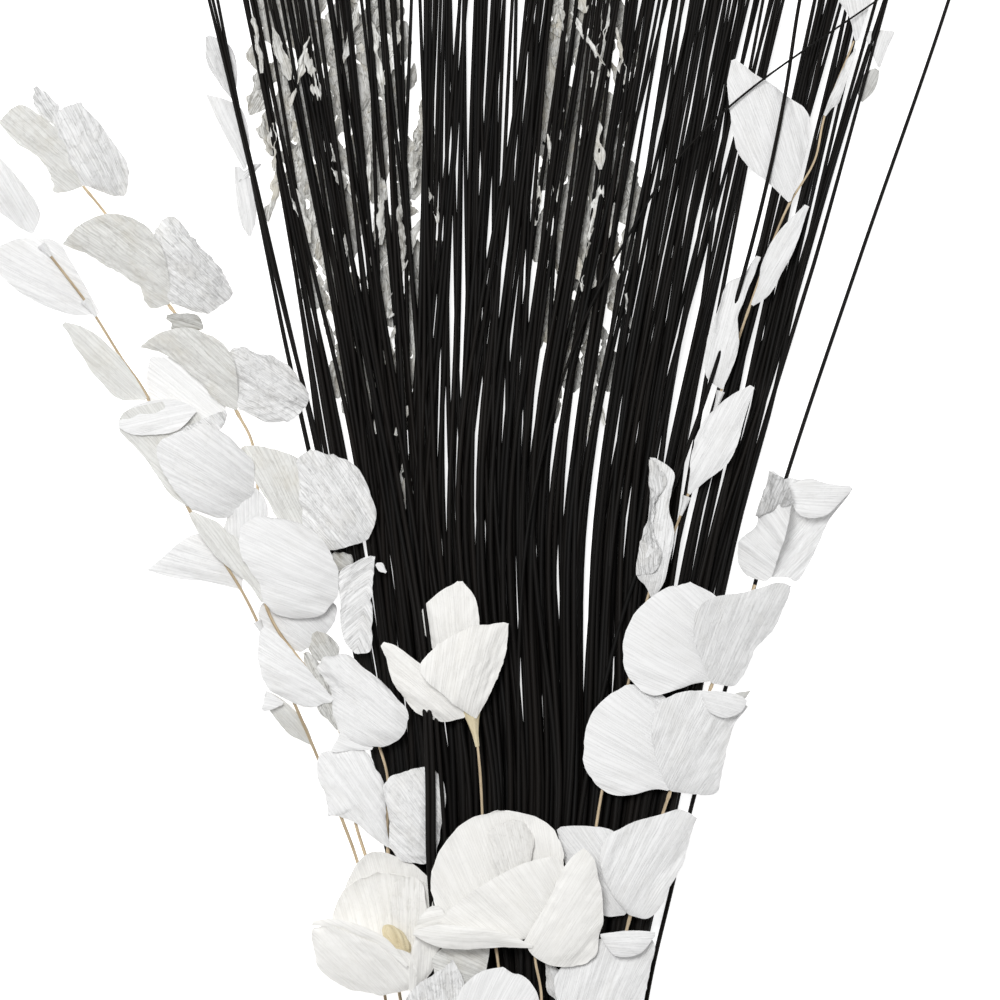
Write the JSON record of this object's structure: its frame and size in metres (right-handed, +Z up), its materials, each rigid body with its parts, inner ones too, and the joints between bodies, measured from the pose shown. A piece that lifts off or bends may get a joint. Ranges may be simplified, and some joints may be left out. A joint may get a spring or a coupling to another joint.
{
  "type": "bunch of cattail stems",
  "caption": "Loose bunch of long black stems in a fan, with sprays of white papery leaves and papery flowers, lying on its side.",
  "frame": {"origin": "middle of the footprint, on the surface that the bunch lies on", "axes": "+Y along the stems from the cut ends to the tips, +Z up from the surface, +X to the right of a viewer who looks down with the tips away"},
  "size_m": [0.8462, 1.2254, 0.07],
  "materials": {
    "black_stem": "dyed black, satin, faint brown where worn",
    "brown_twig": "bare straw-coloured twig",
    "white_leaf": "matt, thin and papery, finely veined",
    "grey_leaf": "matt, thin and papery, greyer underside",
    "white_petal": "matt, smooth papery petal with soft folds",
    "cream_cone": "matt cream"
  },
  "bodies": {
    "root": {"stem_clump_1": "black_stem", "stem_clump_2": "black_stem", "stem_clump_3": "black_stem", "stem_clump_4": "black_stem", "stem_clump_5": "black_stem", "stem_clump_6": "black_stem", "loose_stem_right": "black_stem", "loose_stem_across": "black_stem", "outer_twig": "brown_twig", "inner_twig": "brown_twig", "short_twig": "brown_twig", "back_twig": "brown_twig", "front_twig": "brown_twig", "bud_stem": "brown_twig", "open_stem": "brown_twig", "side_stem": "brown_twig", "outer_leaf_1": "white_leaf", "outer_leaf_2": "white_leaf", "outer_leaf_5": "white_leaf", "outer_leaf_6": "white_leaf", "inner_leaf_2": "white_leaf", "inner_leaf_4": "white_leaf", "inner_leaf_6": "white_leaf", "inner_leaf_7": "white_leaf", "inner_leaf_9": "white_leaf", "inner_leaf_10": "white_leaf", "short_leaf_1": "white_leaf", "short_leaf_2": "white_leaf", "short_leaf_3": "white_leaf", "back_leaf_1": "white_leaf", "back_leaf_2": "white_leaf", "back_leaf_3": "white_leaf", "back_leaf_4": "white_leaf", "back_leaf_5": "white_leaf", "front_leaf_1": "white_leaf", "front_leaf_2": "white_leaf", "front_leaf_3": "white_leaf", "front_leaf_4": "white_leaf", "front_leaf_5": "white_leaf", "front_leaf_6": "white_leaf", "front_leaf_7": "white_leaf", "front_leaf_8": "white_leaf", "outer_leaf_3": "grey_leaf", "outer_leaf_4": "grey_leaf", "inner_leaf_1": "grey_leaf", "inner_leaf_3": "grey_leaf", "inner_leaf_5": "grey_leaf", "inner_leaf_8": "grey_leaf", "hidden_spray_left": "grey_leaf", "hidden_spray_middle": "grey_leaf", "bud_petal_1": "white_petal", "bud_petal_2": "white_petal", "bud_petal_3": "white_petal", "open_petal_1": "white_petal", "open_petal_2": "white_petal", "open_petal_3": "white_petal", "open_petal_4": "white_petal", "side_petal_1": "white_petal", "side_petal_2": "white_petal", "side_cone": "cream_cone"}
  },
  "joints": []
}
